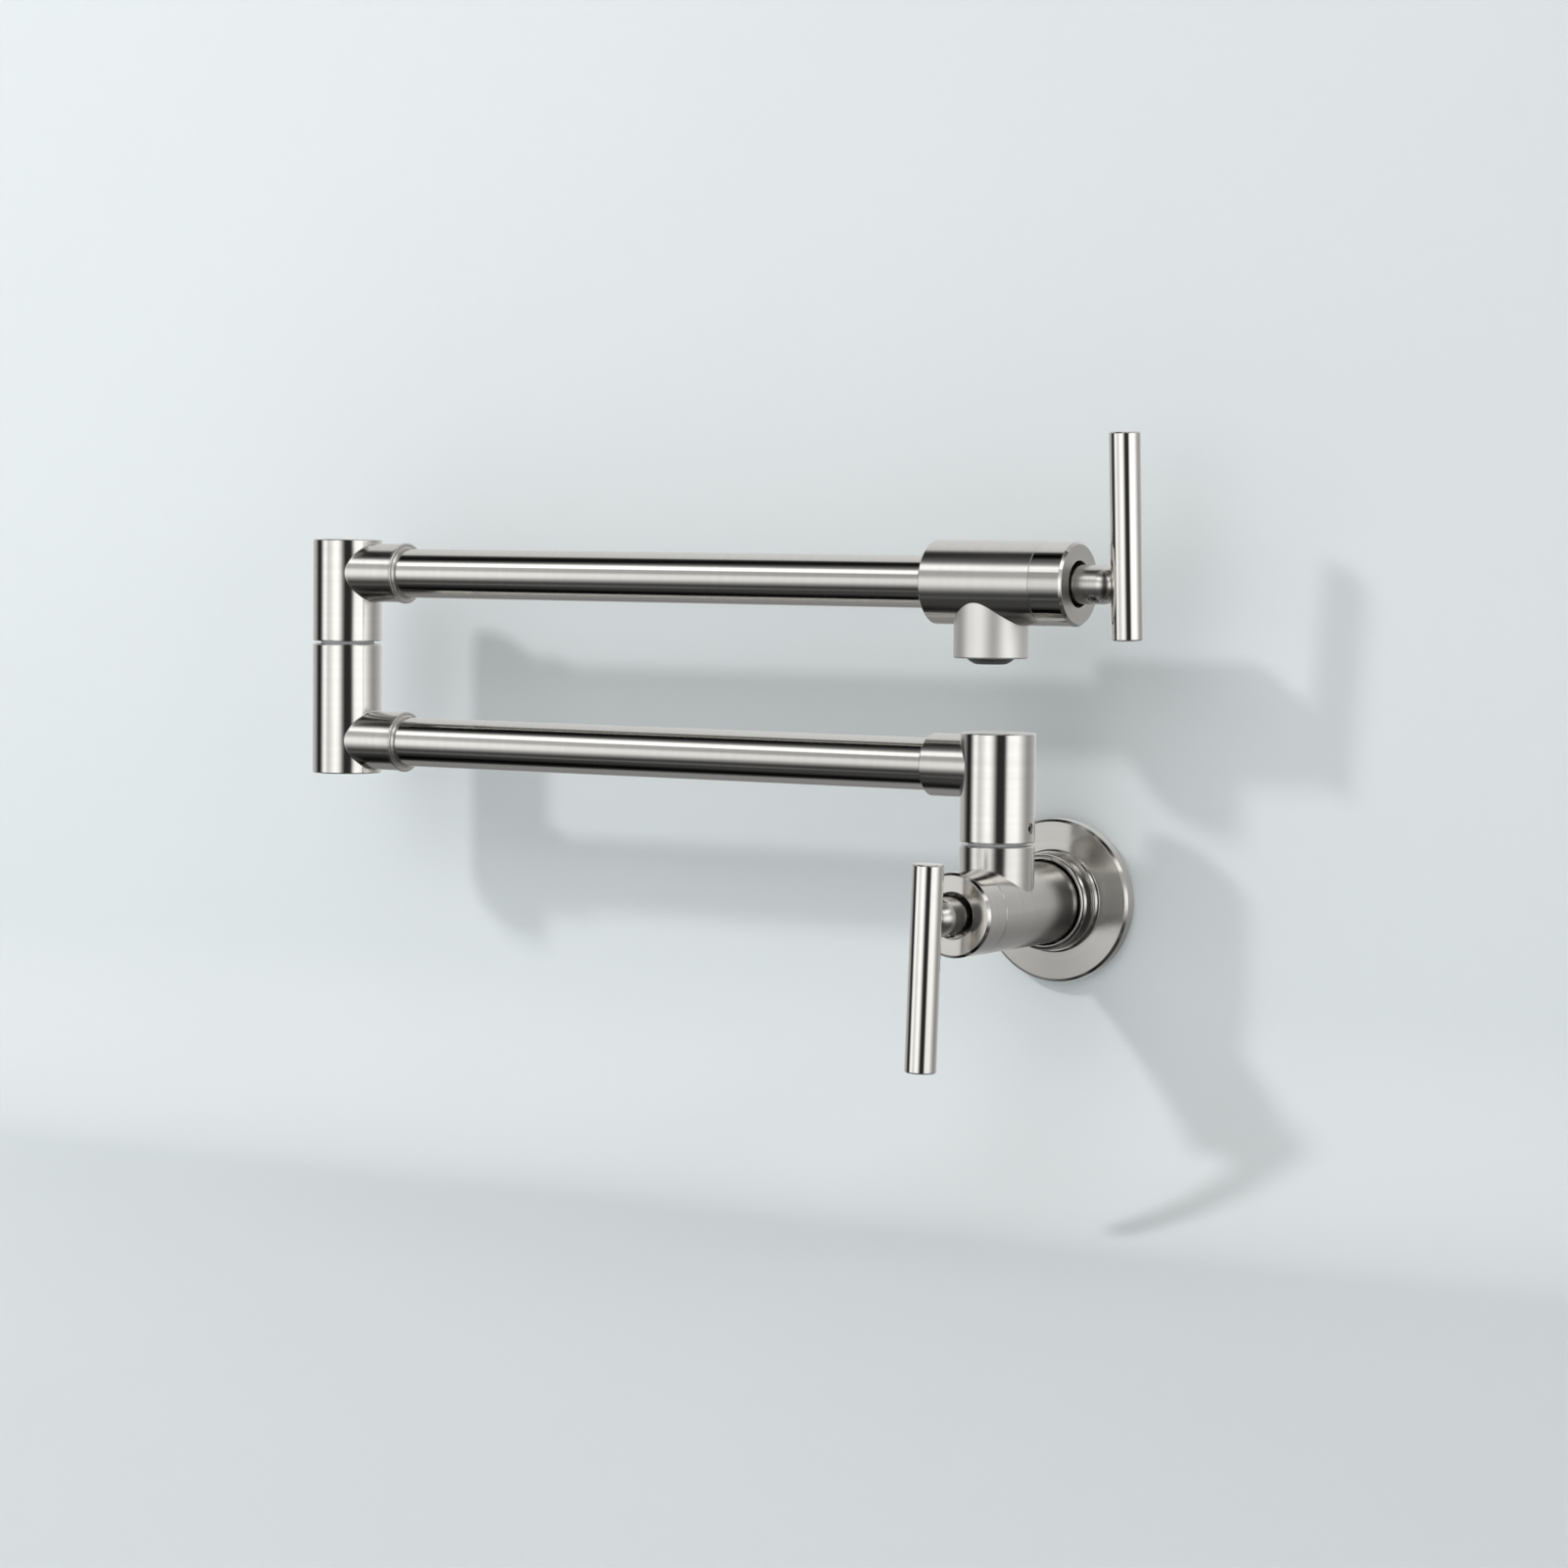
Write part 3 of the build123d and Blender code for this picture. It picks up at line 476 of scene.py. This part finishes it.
# Matt, faintly cloudy sheet, clear from behind so that the back of the tap can be seen
SHEET_TONE = (0.705, 0.742, 0.750, 1)
CLOUD_TONE = (0.735, 0.767, 0.775, 1)
CLOUD_SCALE = 4.0
SHEET_ROUGHNESS = 0.8
SHEET_GLOSS = 0.1
material, tree, shader, place = start_material("pale_sheet")
clouds = noise(tree, place.outputs["Object"], CLOUD_SCALE, detail=3.0)
feed(tree, shader.inputs["Base Color"], blend_colour(tree, clouds, SHEET_TONE, CLOUD_TONE))
shader.inputs["Roughness"].default_value = SHEET_ROUGHNESS
shader.inputs["Specular IOR Level"].default_value = SHEET_GLOSS
clear = add_node(tree, "ShaderNodeBsdfTransparent")
behind = add_node(tree, "ShaderNodeNewGeometry")
choice = add_node(tree, "ShaderNodeMixShader")
feed(tree, choice.inputs[0], behind.outputs["Backfacing"])
feed(tree, choice.inputs[1], shader.outputs[0])
feed(tree, choice.inputs[2], clear.outputs[0])
feed(tree, tree.nodes["Material Output"].inputs["Surface"], choice.outputs[0])
studio_sheet.data.materials.append(material)

# Light round the tap: brightness by direction, in degrees round from straight back and up from level.
# The bright and dark stretches are a studio's lit panels and the gaps between, mirrored as strips.
ROUND = (
    (-180, 0.96), (-174, 0.96), (-163, 0.72), (-152, 0.53), (-146, 0.60), (-138, 0.88), (-131, 0.78),
    (-124, 0.34), (-119, 0.10), (-114, 0.01), (-106, 0.01), (-100, 0.05), (-94, 0.14), (-87, 0.26),
    (-78, 0.40), (-30, 0.52), (0, 0.53), (22, 0.38), (44, 0.28), (56, 0.34), (67, 0.46), (76, 0.64),
    (84, 0.84), (93, 0.96), (115, 0.90), (121, 0.78), (127, 0.26), (132, 0.02), (153, 0.02), (160, 0.22),
    (167, 0.60), (176, 0.92),
)
UP_FRONT = (
    (-90, 0.10), (-60, 0.08), (-40, 0.05), (-37, 0.12), (-34, 0.12), (-31, 0.05), (-24, 0.10), (-15, 0.50),
    (-8, 0.98), (-3, 1.16), (5, 1.20), (10, 0.98), (15, 0.58), (27, 0.50), (29, 1.5), (38, 1.5), (44, 0.38),
    (50, 0.14), (62, 0.14), (75, 0.4), (90, 0.5),
)
UP_BACK = (
    (-90, 0.20), (-55, 0.50), (-31, 0.33), (-12, 0.76), (0, 1.0), (31, 1.06), (50, 1.2), (70, 1.2),
    (90, 1.1),
)

# The light at the back: its middle, how far from that it starts to give way, and where the front is reached
BACK_MIDDLE = -10.5
BACK_END = 64
FRONT_START = 79


def degree_ramp(tree, angle, stops):
    """Brightness over an angle in radians, from stops in degrees."""
    low = stops[0][0]
    high = -low
    ramp = add_node(tree, "ShaderNodeValToRGB")
    feed(tree, ramp.inputs[0], stretch(tree, angle, radians(low), radians(high)))
    elements = ramp.color_ramp.elements
    while len(elements) < len(stops):
        elements.new(0.5)
    for element, (degrees, level) in zip(elements, stops):
        element.position = (degrees - low) / (high - low)
        element.color = (level, level, level, 1.0)
    return ramp.outputs[0]


# The camera sees the background plain, and the metal sees it with its bright and dark stretches
BACKGROUND = (0.765, 0.775, 0.772)
LIGHT_LEVEL = 1.81
MATT_LEVEL = 1.4
world = bpy.data.worlds.new("studio_light")
scene.world = world
world.use_nodes = True
tree = world.node_tree
glow = tree.nodes["Background"]
direction = add_node(tree, "ShaderNodeTexCoord").outputs["Generated"]
parts = add_node(tree, "ShaderNodeSeparateXYZ")
feed(tree, parts.inputs[0], direction)
round_angle = maths(tree, "ARCTAN2", parts.outputs["X"], parts.outputs["Y"])
up_angle = maths(tree, "ARCSINE", parts.outputs["Z"])
from_back = maths(tree, "ABSOLUTE", maths(tree, "SUBTRACT", round_angle, radians(BACK_MIDDLE)))
front = stretch(tree, from_back, radians(BACK_END), radians(FRONT_START))
up_back = degree_ramp(tree, up_angle, UP_BACK)
up_level = blend_value(tree, front, up_back, degree_ramp(tree, up_angle, UP_FRONT))
level = maths(tree, "MULTIPLY", degree_ramp(tree, round_angle, ROUND), up_level)
rays = add_node(tree, "ShaderNodeLightPath").outputs
mirrored = maths(tree, "MAXIMUM", rays["Is Glossy Ray"], rays["Is Transmission Ray"])
shown = maths(tree, "MAXIMUM", rays["Is Camera Ray"], mirrored)
pattern = blend_value(tree, rays["Is Camera Ray"], maths(tree, "MULTIPLY", level, LIGHT_LEVEL), 1.0)
matt_light = maths(tree, "MULTIPLY", level, MATT_LEVEL)
feed(tree, glow.inputs["Color"], blend_colour(tree, shown, matt_light, scaled(tree, BACKGROUND, pattern)))

# Key lamp, high on the left in front, and a fill from the front for the matt surfaces: angle round from
# straight back, angle up from level, distance, size and power
KEY = (radians(-135), radians(36), 2.2, 0.20, 16.5)
FILL = (radians(170), radians(35), 2.5, 3.0, 19.0)
AIM = Vector((-0.13, -0.05, 0.08))


def way_to(around, up):
    """Direction by its angle round from straight back and its angle up from level."""
    return Vector((sin(around) * cos(up), cos(around) * cos(up), sin(up)))


def lamp(name, around, up, distance, size, power):
    """Round soft lamp that looks at the middle of the tap; shiny faces see the studio light instead."""
    data = bpy.data.lights.new(name, "AREA")
    data.shape = "DISK"
    data.size = size
    data.energy = power
    way = way_to(around, up)
    obj = bpy.data.objects.new(name, data)
    obj.location = AIM + way * distance
    obj.rotation_euler = way.to_track_quat("Z", "Y").to_euler()
    obj.visible_glossy = False
    obj.visible_camera = False
    scene.collection.objects.link(obj)


lamp("key_lamp", *KEY)
lamp("fill_lamp", *FILL)

# Camera at the photograph's place
LENS = 94.78
SENSOR = 36.0
NEAREST = 0.01
FARTHEST = 50.0
CAMERA_PLACE = Vector((0.737013, -1.415953, 0.139086))
CAMERA_YAW = radians(-31.355)
CAMERA_PITCH = radians(-3.427)
CAMERA_ROLL = radians(0.576)

ahead = way_to(CAMERA_YAW, CAMERA_PITCH)
level_right = Vector((cos(CAMERA_YAW), -sin(CAMERA_YAW), 0.0))
level_up = level_right.cross(ahead)
right = level_right * cos(CAMERA_ROLL) + level_up * sin(CAMERA_ROLL)
upward = level_up * cos(CAMERA_ROLL) - level_right * sin(CAMERA_ROLL)
camera_data = bpy.data.cameras.new("camera")
camera_data.lens = LENS
camera_data.sensor_width = SENSOR
camera_data.clip_start = NEAREST
camera_data.clip_end = FARTHEST
camera = bpy.data.objects.new("camera", camera_data)
turn = Matrix((right, upward, -ahead)).transposed().to_4x4()
camera.matrix_world = Matrix.Translation(CAMERA_PLACE) @ turn
scene.collection.objects.link(camera)
scene.camera = camera
